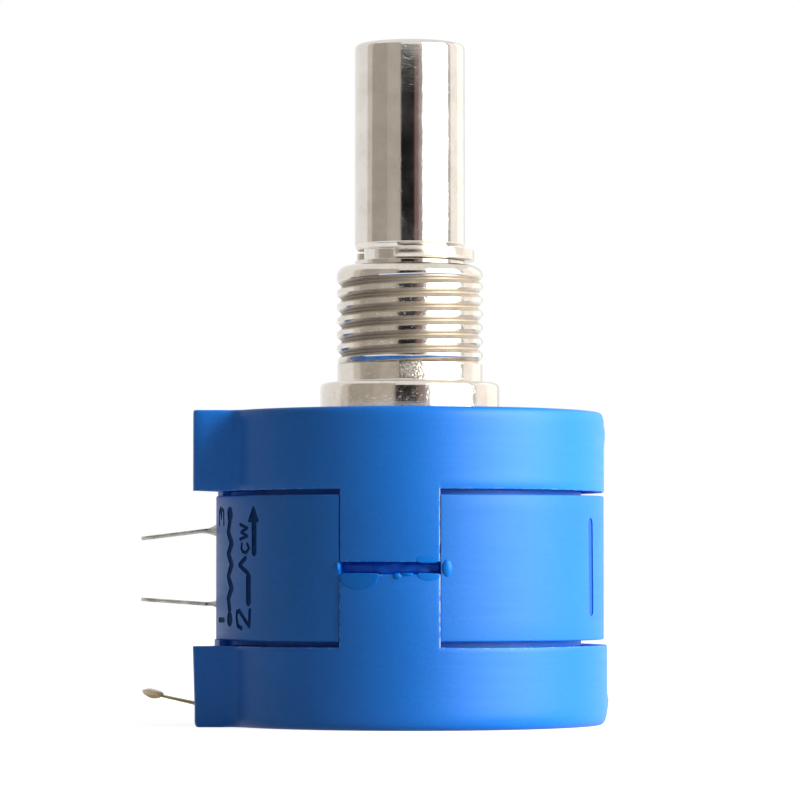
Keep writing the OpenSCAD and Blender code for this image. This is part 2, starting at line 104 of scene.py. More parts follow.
def add(tree, kind, inputs=None, **settings):
    """A node with its settings; an input is a value, or another node's output to link."""
    made = tree.nodes.new(kind)
    for name, value in settings.items():
        setattr(made, name, value)
    for name, value in (inputs or {}).items():
        if isinstance(value, bpy.types.NodeSocket):
            tree.links.new(value, made.inputs[name])
        else:
            made.inputs[name].default_value = value
    return made


def ramp(tree, factor, *stops):
    """A colour ramp through (place, grey or hex colour) stops."""
    made = add(tree, "ShaderNodeValToRGB", {"Fac": factor})
    points = made.color_ramp.elements
    while len(points) < len(stops):
        points.new(0.5)
    for point, (place, colour) in zip(points, stops):
        point.position = place
        point.color = linear(colour) if isinstance(colour, str) else (colour, colour, colour, 1)
    return made.outputs["Color"]


def new_finish(name, **constants):
    """An empty finish: its tree, its Principled shader with constants set, and object coordinates."""
    made = bpy.data.materials.new(name)
    made.use_nodes = True
    tree = made.node_tree
    shader = tree.nodes["Principled BSDF"]
    for key, value in constants.items():
        shader.inputs[key.replace("_", " ")].default_value = value
    return made, tree, shader, add(tree, "ShaderNodeTexCoord").outputs["Object"]


def wired(tree, shader, **sockets):
    """Links each output to the shader's input of that name."""
    for key, socket in sockets.items():
        tree.links.new(socket, shader.inputs[key.replace("_", " ")])


def per_mm(size):
    """The scale of a pattern whose features are that many millimetres across."""
    return 1 / (size * MM)


print("mid grey 808080 is", round(linear("808080")[0], 3), "in linear light")

# %% [markdown]
# ## Blue polyester
# Body parts of this class are compression moulded from glass-filled polyester. The glass leaves a faint
# mottle a few millimetres across and a fine orange peel, and the gloss is uneven. Where a mould closes,
# the edge is rubbed pale in short flecks; a face attribute called worn says where those edges are.


# %% Blue polyester
def moulded_polyester(name, colour, deep, gloss):
    made, tree, shader, where = new_finish(name, IOR=1.54, Specular_IOR_Level=0.3)
    mottle = add(tree, "ShaderNodeTexNoise",
                 {"Vector": where, "Scale": per_mm(5), "Detail": 4, "Roughness": 0.6})
    # These grains are coarser than the real filler, so that they show
    grain = add(tree, "ShaderNodeTexNoise", {"Vector": where, "Scale": per_mm(0.15), "Detail": 3})
    # Flow lines run round the part, long and thin
    along = add(tree, "ShaderNodeMapping", {"Vector": where, "Scale": (0.5, 0.5, 6)}).outputs["Vector"]
    flow = add(tree, "ShaderNodeTexNoise", {"Vector": along, "Scale": per_mm(2), "Detail": 5})
    shade = add(tree, "ShaderNodeMix", data_type="RGBA",
                inputs={"Factor": mottle.outputs["Fac"], "A": linear(deep), "B": linear(colour)})
    speck = ramp(tree, grain.outputs["Fac"], (0.25, 0.9), (0.5, 1.0), (0.78, 1.06))
    body = add(tree, "ShaderNodeMix", {"Factor": 1.0, "A": shade.outputs[2], "B": speck},
               data_type="RGBA", blend_type="MULTIPLY")
    # Pale flecks on the worn edges, 0.3 mm long. An edge worn by 1 is pale nearly all along
    worn = add(tree, "ShaderNodeAttribute", attribute_name="worn")
    chips = add(tree, "ShaderNodeTexNoise", {"Vector": where, "Scale": per_mm(0.3), "Detail": 2})
    often = add(tree, "ShaderNodeMath", {0: worn.outputs["Fac"], 1: 0.16, 2: chips.outputs["Fac"]},
                operation="MULTIPLY_ADD")
    flecks = ramp(tree, often.outputs[0], (0.56, 0.0), (0.68, 0.85))
    rubbed = add(tree, "ShaderNodeMath", {0: worn.outputs["Fac"], 1: flecks}, operation="MULTIPLY")
    skin = add(tree, "ShaderNodeMix", data_type="RGBA",
               inputs={"Factor": rubbed.outputs[0], "A": body.outputs[2], "B": linear("A9BEDF")})
    rough = add(tree, "ShaderNodeMapRange",
                {"Value": flow.outputs["Fac"], "To Min": gloss - 0.07, "To Max": gloss + 0.09})
    peel = add(tree, "ShaderNodeBump",
               {"Height": grain.outputs["Fac"], "Strength": 0.12, "Distance": 0.02 * MM})
    waves = add(tree, "ShaderNodeBump", {"Height": flow.outputs["Fac"], "Strength": 0.18,
                                         "Distance": 0.05 * MM, "Normal": peel.outputs["Normal"]})
    wired(tree, shader, Base_Color=skin.outputs[2], Roughness=rough.outputs["Result"],
          Normal=waves.outputs["Normal"])
    return made


cap_polyester = moulded_polyester("moulded_polyester_cap", "1081EA", "0C77DE", 0.42)
sleeve_polyester = moulded_polyester("moulded_polyester_sleeve", "127FE4", "0D75D8", 0.46)
# The front cap is the same moulding as the rear one, drawn a little lighter: painted light on the upper band
lit_front_polyester = moulded_polyester("moulded_polyester_front_painted_light", "1086F2", "0C7CE6", 0.42)
# The mould groove is drawn in a darker blue: painted shade in the groove
shaded_groove_polyester = moulded_polyester("moulded_polyester_groove_painted_shade", "0A60C8", "0858BE", 0.5)
print("the caps are made of", cap_polyester.name, "and", lit_front_polyester.name)

# %% [markdown]
# ## Bright nickel
# The bushing and the shaft are turned from brass and nickel plated. Nickel is a warm grey. Turning and
# grinding leave fine rings round the axis, so the pattern is stretched flat: short along Z and long
# round the part. Handling leaves dull spots, which show as patches of higher roughness. Shade is painted
# into the roots of the thread, so a helper tells how far out or how far up a point is.

# %% Bright nickel
# A length is measured out from the Z axis, or up along it
OUT, UP = (1, 1, 0), (0, 0, 1)
# The rounded nose above the thread gets no painted root shade, like the crests, and the shade ends between
# these heights
NOSE_CLEAR = (25.4, 25.6)
# A scuffed patch fades out between these distances from its middle
SCUFF = (0.3, 1.0)


def far_along(tree, where, axes, low, high):
    """0 for points nearer than low millimetres along the axes, and 1 for those past high."""
    along = add(tree, "ShaderNodeMapping", {"Vector": where, "Scale": axes}).outputs["Vector"]
    length = add(tree, "ShaderNodeVectorMath", {0: along}, operation="LENGTH").outputs["Value"]
    return add(tree, "ShaderNodeMapRange",
               {"Value": length, "From Min": low * MM, "From Max": high * MM}).outputs["Result"]


def plated_nickel(name, colour, shadow, gloss, ring, ring_depth, pits, root=0.0, crest=0.001,
                  scuff=(0, 0, -99)):
    made, tree, shader, where = new_finish(name, Metallic=1.0)
    flat = add(tree, "ShaderNodeMapping", {"Vector": where, "Scale": (0.03, 0.03, 1)}).outputs["Vector"]
    # Real grinding marks are under 0.02 mm apart and are drawn wider, so that they show
    rings = add(tree, "ShaderNodeTexNoise", {"Vector": flat, "Scale": per_mm(ring), "Detail": 4})
    cloud = add(tree, "ShaderNodeTexNoise",
                {"Vector": where, "Scale": per_mm(1.6), "Detail": 5, "Roughness": 0.65})
    spots = add(tree, "ShaderNodeTexNoise", {"Vector": where, "Scale": per_mm(0.22), "Detail": 3})
    tint = ramp(tree, cloud.outputs["Fac"], (0.3, shadow), (0.6, colour))
    # Shade is painted into the roots of a thread, where the plate is thin, so the plate darkens below the
    # crests
    high = far_along(tree, where, OUT, root, crest)
    nose = far_along(tree, where, UP, *NOSE_CLEAR)
    clear_of_roots = add(tree, "ShaderNodeMath", {0: high, 1: nose}, operation="MAXIMUM").outputs[0]
    root_shade = ramp(tree, clear_of_roots, (0.0, "C4BAAA"), (1.0, "FFFFFF"))
    plate = add(tree, "ShaderNodeMix", {"Factor": 1.0, "A": tint, "B": root_shade},
                data_type="RGBA", blend_type="MULTIPLY")
    # In the painted root shade the plate is also less metal: most of the mirror goes and the light scatters
    bare = add(tree, "ShaderNodeMapRange", {"Value": clear_of_roots, "To Min": 0.35, "To Max": 1.0})
    matt = add(tree, "ShaderNodeMapRange", {"Value": clear_of_roots, "To Min": 0.3, "To Max": 0.0})
    dull = add(tree, "ShaderNodeMapRange", {"Value": cloud.outputs["Fac"], "From Min": 0.3, "From Max": 0.75,
                                            "To Min": gloss, "To Max": gloss + 0.08})
    rough = add(tree, "ShaderNodeMath", {0: dull.outputs["Result"], 1: matt.outputs["Result"]},
                operation="ADD")
    # A coarse scuffed patch, where the plate is pitted and catches light from all round
    near = add(tree, "ShaderNodeVectorMath", {0: where, 1: [v * MM for v in scuff]}, operation="DISTANCE")
    inside = add(tree, "ShaderNodeMapRange", {"Value": near.outputs["Value"], "From Min": SCUFF[0] * MM,
                                              "From Max": SCUFF[1] * MM, "To Min": 1.0, "To Max": 0.0})
    grit = add(tree, "ShaderNodeTexNoise", {"Vector": where, "Scale": per_mm(0.16), "Detail": 3})
    raised = add(tree, "ShaderNodeMath", {0: grit.outputs["Fac"], 1: inside.outputs["Result"]},
                 operation="MULTIPLY")
    turning = add(tree, "ShaderNodeBump",
                  {"Height": rings.outputs["Fac"], "Strength": ring_depth, "Distance": 0.004 * MM})
    pitted = ramp(tree, spots.outputs["Fac"], (0.3, 0.0), (0.42, 1.0))
    marked = add(tree, "ShaderNodeBump", {"Height": pitted, "Strength": pits, "Distance": 0.01 * MM,
                                          "Normal": turning.outputs["Normal"]})
    coarse = add(tree, "ShaderNodeBump", {"Height": raised.outputs[0], "Strength": 1.0,
                                          "Distance": 0.05 * MM, "Normal": marked.outputs["Normal"]})
    wired(tree, shader, Base_Color=plate.outputs[2], Metallic=bare.outputs["Result"],
          Roughness=rough.outputs[0], Normal=coarse.outputs["Normal"])
    return made


shaft_nickel = plated_nickel("ground_nickel_plate", "DDD8D1", "D0CAC2", 0.07, 0.08, 0.25, 0.1)
bushing_nickel = plated_nickel("turned_nickel_plate", "DED8CF", "CFC8BC", 0.1, 0.1, 0.35, 0.3,
                               root=3.9, crest=4.18, scuff=(0.1, -4.15, 20.15))
clip_nickel = plated_nickel("stamped_spring_steel", "DAD3C8", "C4BCB0", 0.16, 0.2, 0.2, 0.3)
print("made", shaft_nickel.name, "and", bushing_nickel.name)

# %% [markdown]
# ## Tinned and bare brass
# The terminals are stamped from brass strip. The end terminals are tinned, a soft grey-white with dull
# patches. The wiper terminal shows bare brass where the tin has not run, drawn darker there as painted shade.

# %% Terminal metals
# The tin on the wiper terminal's folded tip ends between these heights; below it the bare brass is also
# painted darker as shade
TIN_AND_SHADE_EDGE = (1.66, 1.9)


def stamped_strip(name, bright, dark, gloss, patch, below=None):
    made, tree, shader, where = new_finish(name, Metallic=1.0)
    flow = add(tree, "ShaderNodeTexNoise",
               {"Vector": where, "Scale": per_mm(patch), "Detail": 5, "Roughness": 0.7})
    grit = add(tree, "ShaderNodeTexNoise", {"Vector": where, "Scale": per_mm(0.12), "Detail": 2})
    tint = ramp(tree, flow.outputs["Fac"], (0.35, dark), (0.62, bright))
    if below:
        upper = far_along(tree, where, UP, *TIN_AND_SHADE_EDGE)
        tint = add(tree, "ShaderNodeMix", {"Factor": upper, "A": linear(below), "B": tint},
                   data_type="RGBA").outputs[2]
    dull = add(tree, "ShaderNodeMapRange",
               {"Value": flow.outputs["Fac"], "To Min": gloss + 0.18, "To Max": gloss - 0.06})
    lumps = add(tree, "ShaderNodeBump",
                {"Height": grit.outputs["Fac"], "Strength": 0.3, "Distance": 0.01 * MM})
    wired(tree, shader, Base_Color=tint, Roughness=dull.outputs["Result"], Normal=lumps.outputs["Normal"])
    return made


tinned_brass = stamped_strip("tinned_brass_strip", "B9B6B0", "7C776E", 0.28, 0.9)
# The wiper terminal's lower part is bare brass with painted shade
part_tinned_shaded_brass = stamped_strip("part_tinned_brass_strip_lower_shade", "DCCFBD", "B8A88E", 0.3, 0.5, below="94825A")
contact_metal = stamped_strip("precious_contact_strip", "D8B77C", "B98F52", 0.2, 1.2)
print("made", tinned_brass.name, "and", part_tinned_shaded_brass.name)

# %% [markdown]
# ## Cement, inked marks with painted shade, and the plastics inside
# Cement cures to a deep blue. Where it has smeared over the caps it is only a thin film, and the plastic
# under it shows. The marks on the sleeve are stamped into it and filled with dark ink, drawn darker still
# as painted shade in the stamped recesses. The parts inside are plain moulded or punched plastics, each with
# its own mottle.

# %% Cement, ink and inner plastics
# Cement turns from a body of its own to a film between these radii
FILM_EDGE = (11.0, 11.14)


def cast_plastic(name, bright, dark, gloss, patch, bump, shine=0.5, film=None):
    made, tree, shader, where = new_finish(name, IOR=1.5, Specular_IOR_Level=shine)
    cloud = add(tree, "ShaderNodeTexNoise",
                {"Vector": where, "Scale": per_mm(patch), "Detail": 4, "Roughness": 0.6})
    fine = add(tree, "ShaderNodeTexNoise", {"Vector": where, "Scale": per_mm(patch / 6), "Detail": 3})
    tint = ramp(tree, cloud.outputs["Fac"], (0.35, dark), (0.65, bright))
    if film:
        proud = far_along(tree, where, OUT, *FILM_EDGE)
        tint = add(tree, "ShaderNodeMix", {"Factor": proud, "A": tint, "B": linear(film)},
                   data_type="RGBA").outputs[2]
    rough = add(tree, "ShaderNodeMapRange",
                {"Value": fine.outputs["Fac"], "To Min": gloss - 0.06, "To Max": gloss + 0.12})
    peel = add(tree, "ShaderNodeBump",
               {"Height": fine.outputs["Fac"], "Strength": bump, "Distance": 0.02 * MM})
    wired(tree, shader, Base_Color=tint, Roughness=rough.outputs["Result"], Normal=peel.outputs["Normal"])
    return made


seam_epoxy = cast_plastic("cured_epoxy", "0C62CC", "0850B0", 0.26, 0.4, 0.06, shine=0.15, film="0C80E8")
# Dark ink in the stamped marks, its darkness also painted shade for their recesses
stamp_ink_and_shade = cast_plastic("stamped_ink_and_painted_shade", "154888", "0E3870", 0.7, 0.5, 0.3, shine=0.1)
washer_nylon = cast_plastic("punched_nylon_sheet", "E4DFCE", "D3CCB6", 0.4, 1.0, 0.15)
rotor_phenolic = cast_plastic("moulded_phenolic", "2C2B2B", "1E1D1E", 0.35, 1.4, 0.2)
carriage_acetal = cast_plastic("moulded_acetal", "E2DCCB", "D5CDB8", 0.3, 0.8, 0.1)
print("the seams are filled with", seam_epoxy.name, "and the marks with", stamp_ink_and_shade.name)

# %% [markdown]
# ## Resistance wire
# The element is a copper cord wound with very fine resistance wire. The turns of that wire show as
# close lines across the cord. The cord climbs round Z, so lines of constant angle cross it.

# %% Resistance wire
wound_wire, tree, shader, where = new_finish("wound_resistance_wire", Metallic=1.0)
# The real wire is about 0.03 mm thick, and its turns are drawn 0.12 mm apart
lines = add(tree, "ShaderNodeTexWave", wave_type="BANDS", bands_direction="DIAGONAL",
            inputs={"Vector": where, "Scale": per_mm(0.12) / (2 * math.pi), "Distortion": 0.6})
tint = ramp(tree, lines.outputs["Fac"], (0.2, "6F5E47"), (0.7, "C2AF8E"))
dull = add(tree, "ShaderNodeMapRange", {"Value": lines.outputs["Fac"], "To Min": 0.45, "To Max": 0.25})
ridges = add(tree, "ShaderNodeBump", {"Height": lines.outputs["Fac"], "Strength": 0.5, "Distance": 0.02 * MM})
wired(tree, shader, Base_Color=tint, Roughness=dull.outputs["Result"], Normal=ridges.outputs["Normal"])
print("made", wound_wire.name)

# %% [markdown]
# ## The lathe
# Nearly every piece here is round, so most begin as a half section swept round the axis. A section is
# a list of corners, each a radius and a height. A corner may carry an ease: how far before and after
# it the line starts to curve, which rounds the edge.


# %% Section and lathe
def eased(corners, steps=5):
    """The corners as a line, with those that carry an ease (one length, or two) curved."""
    line = []
    for i, corner in enumerate(corners):
        here = Vector(corner[:2])
        if len(corner) == 2:
            line.append(here)
            continue
        before = (Vector(corners[i - 1][:2]) - here).normalized() * corner[2]
        after = (Vector(corners[i + 1][:2]) - here).normalized() * corner[-1]
        line += [here + before * (1 - k / steps) ** 2 + after * (k / steps) ** 2 for k in range(steps + 1)]
    return line


def verts_in(geometry):
    """Only the vertices of what an operator returned."""
    return [g for g in geometry if isinstance(g, bmesh.types.BMVert)]


def tilted(shape, verts, degrees, axis):
    """Turns the vertices round an axis through the origin."""
    bmesh.ops.rotate(shape, verts=verts, cent=(0, 0, 0),
                     matrix=Matrix.Rotation(math.radians(degrees), 3, axis))


def swept(line, steps, start=0.0, sweep=360.0, merge=False):
    """The line swept round Z, and the vertices of its last position. Merging closes a full turn."""
    shape = bmesh.new()
    shape.faces.layers.float.new("worn")
    corners = [shape.verts.new((p[0], 0, p[1])) for p in line]
    edges = [shape.edges.new(pair) for pair in zip(corners, corners[1:])]
    tilted(shape, corners, start, "Z")
    spun = bmesh.ops.spin(shape, geom=corners + edges, cent=(0, 0, 0), axis=(0, 0, 1),
                          angle=math.radians(sweep), steps=steps, use_merge=merge)
    return shape, verts_in(spun["geom_last"])


def turned(line, steps, start=0.0, sweep=360.0):
    """The line swept round Z as one skin."""
    return swept(line, steps, start, sweep, merge=sweep == 360)[0]


# %% [markdown]
# ## From a skin to a piece
# A swept skin is welded, and its faces are turned outwards. Sharp edges are beveled, and open ends are
# filled. A finished shape is shrunk to metres and gets its finish, body and the solid it stands for.


# %% Shape helpers
def outward(shape):
    """Turns every face outwards."""
    bmesh.ops.recalc_face_normals(shape, faces=shape.faces)
    if shape.calc_volume(signed=True) < 0:
        bmesh.ops.reverse_faces(shape, faces=shape.faces)
    return shape


def welded(shape):
    """Joins doubled vertices, drops flat faces and turns the rest outwards."""
    bmesh.ops.remove_doubles(shape, verts=shape.verts, dist=0.001)
    bmesh.ops.dissolve_degenerate(shape, edges=shape.edges, dist=0.0005)
    return outward(shape)


def rounded(shape, edges, by, segments, clamp=False):
    """Bevels the edges by that many millimetres, and returns the new faces."""
    return bmesh.ops.bevel(shape, geom=edges, offset=by, offset_type="OFFSET", segments=segments,
                           profile=0.5, affect="EDGES", material=-1, clamp_overlap=clamp)["faces"]


def closed_ends(shape):
    """Fills every opening with one face."""
    bmesh.ops.holes_fill(shape, edges=[e for e in shape.edges if e.is_boundary], sides=0)


def polar(place):
    """Radius, and degrees round from +X, of a place or a vertex."""
    place = getattr(place, "co", place)
    return math.hypot(place.x, place.y), math.degrees(math.atan2(place.y, place.x))


def as_mesh(shape, name="spare"):
    """The shape as mesh data."""
    mesh = bpy.data.meshes.new(name)
    shape.to_mesh(mesh)
    shape.free()
    return mesh


def done(shape, name, finishes, stands_for, body="housing", sharp=38):
    """Shrinks the shape to metres and makes it a piece that rides on a body, in place of a solid."""
    welded(shape)
    open_edges = sum(not e.is_manifold for e in shape.edges)
    bmesh.ops.scale(shape, vec=(MM, MM, MM), verts=shape.verts)
    mesh = as_mesh(shape, name)
    mesh.shade_smooth()
    mesh.set_sharp_from_angle(angle=math.radians(sharp))
    for finish in finishes:
        mesh.materials.append(finish)
    piece = placed(name, mesh)
    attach(piece, body)
    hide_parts(stands_for)
    mesh.calc_loop_triangles()
    print(name, len(mesh.loop_triangles), "triangles,", open_edges, "open edges")


# %% [markdown]
# ## Joining and cutting with another shape
# Stamped marks and eyelets are cut with a Boolean, as a punch does, and a punch of many strokes is first
# joined into one solid. A punch's faces keep their material number, so the walls it leaves can be inked and
# painted with shade.


# %% Boolean
def applied(*spares):
    """The first spare object's shape with its modifier applied; all the spares are removed."""
    shape = bmesh.new()
    shape.from_object(spares[0], bpy.context.evaluated_depsgraph_get())
    for spare in spares:
        mesh = spare.data
        bpy.data.objects.remove(spare)
        bpy.data.meshes.remove(mesh)
    return shape


def combined(first, second, operation):
    """The first shape joined with the second (UNION), or with the second cut out of it (DIFFERENCE)."""
    pair = []
    for part in (first, second):
        mesh = as_mesh(part)
        for _ in range(3):
            mesh.materials.append(None)
        pair.append(placed("spare", mesh))
    cut = pair[0].modifiers.new("cut", "BOOLEAN")
    cut.operation, cut.solver, cut.object, cut.material_mode = operation, "EXACT", pair[1], "INDEX"
    return applied(*pair)


# %% [markdown]
# ## The caps
# Both caps are the same moulding: an end wall, a skirt round the sleeve, a block for a terminal and two
# legs that reach for the other cap. A cap is swept from its half section in steps of one degree. The
# outer wall is then pushed out to the block's outline, the legs are extruded up from the skirt's top, and
# the sharp edges get a small bevel.

# %% Sizes of the caps
BODY_H = 17.8
BAND_H, SKIRT_R, WALL = 4.55, 9.9, 1.6
REACH, HALF, BLEND, CORNER = 12.2, 5.2, 1.3, 0.25
LEG_TOP, LEG_FROM, LEG_TO = 8.56, 81.5, 110.5
# The columns, in degrees from the terminals' side, where the block's face, corner, side and blend end
FACE_END, CORNER_END, SIDE_END, BLEND_END = 22.5, 24.5, 27.5, 31.5
# The block's inner face slopes by this much per millimetre, and the gate mark stands at this height
DRAFT, GATE_Z = 0.021, 1.3


def outline(turn, radius):
    """The wall `turn` degrees away from the terminals' side: a point and the way it faces there."""
    blend_x = math.sqrt((radius + BLEND) ** 2 - (HALF + BLEND) ** 2)
    if turn < FACE_END + 0.1:
        share = math.tan(math.radians(turn)) / math.tan(math.radians(FACE_END))
        return Vector((REACH, (HALF - CORNER) * share)), Vector((1, 0))
    if turn < CORNER_END + 0.1:
        a = math.radians(90 * (turn - FACE_END) / (CORNER_END - FACE_END))
        facing = Vector((math.cos(a), math.sin(a)))
        return Vector((REACH - CORNER, HALF - CORNER)) + facing * CORNER, facing
    if turn < SIDE_END + 0.1:
        share = (turn - CORNER_END) / (SIDE_END - CORNER_END)
        return Vector(((REACH - CORNER) * (1 - share) + blend_x * share, HALF)), Vector((0, 1))
    b = math.atan2(blend_x, HALF + BLEND) * (turn - SIDE_END) / (BLEND_END - SIDE_END)
    facing = Vector((math.sin(b), math.cos(b)))
    return Vector((blend_x, HALF + BLEND)) - facing * BLEND, facing


print("the blocks reach", REACH, "mm from the axis")


# %% Cap moulding
def cap(radius, inner, lean, swell, corner, wear, seed):
    """A cap standing on its end wall, with the given band radius and the corners of its inner parts."""
    sides = [(radius, corner[1] + 0.36 * k) for k in range(1, 10)]
    line = eased([inner[0], (6, 0), (9.2, 0), (radius, 0, *corner)] + sides
                 + [(radius, BAND_H), (SKIRT_R, BAND_H), (SKIRT_R, WALL)] + inner[1:], 6)
    shape = welded(turned(line, 360, 0.5))
    worn = shape.faces.layers.float["worn"]
    for v in shape.verts:
        out, turn = polar(v)
        away = 180 - abs(turn)
        if out < SKIRT_R + 0.05 or v.co.z > BAND_H + 0.01:
            continue
        # A gate mark on the side away from the terminals, where the wall also swells a little
        bump = 0.09 * math.exp(-(turn / 3.2) ** 2 - ((v.co.z - GATE_Z) / 0.4) ** 2) * (out > radius - 0.05)
        v.co.x += bump + swell * max(0, math.cos(math.radians(turn))) ** 6
        if away < BLEND_END + 0.1:
            on_block = away < SIDE_END + 0.1
            place, facing = outline(away, radius)
            place -= facing * (radius - out) * (0.4 if on_block else 1)
            if on_block:
                # The block leans in towards the end wall, and its outer edge is rounded less than the band's
                place.x -= lean * (1 - v.co.z / BAND_H)
                v.co.z *= 0.3 if v.co.z < corner[1] + 0.01 else 1
            v.co.x, v.co.y = -place.x, math.copysign(place.y, v.co.y)
            if on_block and v.co.z > BAND_H - 0.01:
                v.co.z -= DRAFT * (v.co.y + HALF)
    tops = [f for f in shape.faces if abs(f.calc_center_median().z - BAND_H) < 0.01
            and LEG_FROM < abs(polar(f.calc_center_median())[1]) < LEG_TO]
    grown = bmesh.ops.extrude_face_region(shape, geom=tops)["geom"]
    bmesh.ops.translate(shape, vec=(0, 0, LEG_TOP - BAND_H), verts=verts_in(grown))
    bmesh.ops.delete(shape, geom=tops, context="FACES")
    outward(shape)
    keen = [e for e in shape.edges if e.is_manifold and e.calc_face_angle_signed() > math.radians(50)
            and min(v.co.z for v in e.verts) > BAND_H - 0.01
            and min(polar(v)[0] for v in e.verts) > SKIRT_R + 0.5]
    eased_faces = rounded(shape, keen, 0.07, 2, clamp=True)
    # The legs' right edges are rubbed most
    for f in eased_faces:
        middle = f.calc_center_median()
        on_side = BAND_H + 0.3 < middle.z < LEG_TOP - 0.1
        f[worn] = 0.35 if not on_side else 1 if abs(polar(middle)[1]) < 96 else wear
    # The mould's edge isn't perfectly straight
    for v in {v for f in eased_faces for v in f.verts}:
        v.co.z += 0.018 * noise.noise(v.co * 1.3 + Vector((0, 0, seed)))
    return shape


rear = cap(11.2, [(0, 0), (2.1, WALL), (2.1, 2.95), (1.53, 2.95), (1.53, 0.8), (0, 0.8)], 0.14, 0.08,
           (0.45, 1.0), 0.8, 3)
done(rear, "rear_cap_moulding", [cap_polyester], "rear_cap")
front = cap(11.12, [(4.66, 0), (5.01, WALL), (5.01, 1.1), (4.66, 1.1), (4.66, 0)], 0, 0, (0.3, 0.75), 0.2, 9)
bmesh.ops.scale(front, vec=(1, 1, -1), verts=front.verts)
bmesh.ops.translate(front, vec=(0, 0, BODY_H), verts=front.verts)
done(front, "front_cap_moulding", [lit_front_polyester], "front_cap")

# %% [markdown]
# ## The sleeve
# The element housing is a sleeve between the caps. Its neck goes into both skirts, and its thick middle
# shows as the pad between the bands. Each leg lies in a channel that goes down to the neck. The sleeve is
# swept in half-degree steps, and the columns inside each channel are pushed in to the neck.

# %% Sleeve
PAD_R, NECK_R, BORE_R = 11.1, 9.8, 8.3
PAD_LOW, PAD_HIGH, NECK_LOW, NECK_HIGH = 4.86, 12.94, 1.6, 16.2
# Beside the terminals the neck is thicker, past this many degrees, and has a foot past this many more
THICK_FROM, FOOT_FROM, FOOT_R = 145, 164.3, (11.18, 11.0)
section = eased([(BORE_R, NECK_LOW), (NECK_R, NECK_LOW), (NECK_R, 4.56), (NECK_R, 4.58), (NECK_R, PAD_LOW),
                 (PAD_R, PAD_LOW, 0.1)] + [(PAD_R, 6 + 1.5 * k) for k in range(5)]
                + [(PAD_R, PAD_HIGH, 0.1), (NECK_R, PAD_HIGH), (NECK_R, 13.22), (NECK_R, 13.24),
                   (NECK_R, NECK_HIGH), (BORE_R, NECK_HIGH), (BORE_R, NECK_LOW)], 4)
sleeve = welded(turned(section, 720, 0.25))
for v in sleeve.verts:
    out, turn = polar(v)
    side = abs(turn)
    if out > NECK_R + 0.01 and LEG_FROM < side < LEG_TO:
        # The first column inside a channel moves up to the wall, so the wall stands upright
        side = LEG_FROM - 0.2 if side < LEG_FROM + 0.5 else LEG_TO + 0.3 if side > LEG_TO - 0.5 else side
        side = math.radians(math.copysign(side, turn))
        v.co.x, v.co.y = NECK_R * math.cos(side), NECK_R * math.sin(side)
    elif out > NECK_R + 0.01:
        # The pad's front edge bows towards the front at the sides
        if v.co.z > PAD_HIGH - 0.2:
            v.co.z += 0.1 * (1 - abs(v.co.y) / out) ** 0.7
    elif 4.57 < v.co.z < 13.23 and out > NECK_R - 0.01 and side > THICK_FROM:
        on_foot = side > FOOT_FROM
        thick = FOOT_R[v.co.z > 9] if on_foot else 10.62 - max(0, 158 - side) / 13 * 0.82
        v.co.x *= thick / out
        v.co.y *= thick / out
        v.co.z += 0.12 * ((v.co.z > 13.2) - (v.co.z < 4.6)) * on_foot
sleeve = welded(sleeve)
print("the sleeve has", len(sleeve.faces), "faces before it is stamped")

# %% [markdown]
# ## Marks on the sleeve
# A small wiring diagram is stamped beside the terminals: a zigzag for the element, an arrow for the
# wiper, the plain numerals of the three terminals, and an arrow for the way of turning. Each stroke is
# a hull round two small discs. It is made flat, then bent round the sleeve.

# %% Stamped marks
# Strokes as (angle towards the terminals, height) corners, with the width of the line
MARKS = [
    ([(66, 11.92), (66.1, 11.98)], 0.8), ([(66.1, 6.02), (66.1, 6.1)], 0.8),
    ([(66, 11.6), (67.3, 10.93), (64.6, 10.3), (67.2, 9.72), (64.6, 9.12), (67.2, 8.46), (64.6, 7.8),
      (67.2, 7.22), (66.1, 6.6)], 0.5),
    ([(52, 12.3), (54.2, 11.55), (49.8, 11.55), (52, 12.3)], 0.16), ([(52, 12.0), (52, 11.6)], 0.5),
    ([(51.6, 11.5), (51.6, 9.8)], 0.46),
    ([(59, 11.36), (55, 11.15), (58.4, 10.93), (55, 10.7), (59, 10.54)], 0.2),
    ([(55, 10.27), (54.1, 10.02), (55.6, 9.78), (57.6, 9.84), (58.4, 10.05), (58, 10.27)], 0.2),
    ([(56, 9.47), (59.4, 9.09), (54.6, 8.62)], 0.28), ([(54.4, 8.4), (54.4, 7.05)], 0.5),
    ([(58.2, 5.56), (60.4, 5.7), (61.2, 6.16), (60.8, 6.46), (59.4, 6.52), (54, 5.68), (53.6, 6.56)], 0.26),
    ([(77.2, 5.99), (71.2, 5.99)], 0.3),
    ([(77.2, 11.45), (77, 12.1), (75.2, 12.3), (74.4, 11.8)], 0.3),
    ([(74.4, 11.8), (73.6, 12.25), (71.8, 12.15), (71.4, 11.4)], 0.24),
]
STAMP_DEEP, GROOVE_DEEP, PROUD = 0.05, 0.06, 0.3
# Material numbers of the inked marks with painted shade, and of the groove's painted shade
INK_AND_SHADE, GROOVE = 1, 2


def stroke(ends, width, deep):
    """A line with round ends from one corner to the next: a flat plate, hulled round small discs."""
    shape = bmesh.new()
    for along, up in ends:
        for level in (-deep, PROUD):
            bmesh.ops.create_circle(shape, segments=14, radius=width / 2,
                                    matrix=Matrix.Translation((math.radians(along) * PAD_R, up, level)))
    bmesh.ops.convex_hull(shape, input=shape.verts)
    bmesh.ops.delete(shape, geom=[v for v in shape.verts if not v.link_faces], context="VERTS")
    return outward(shape)


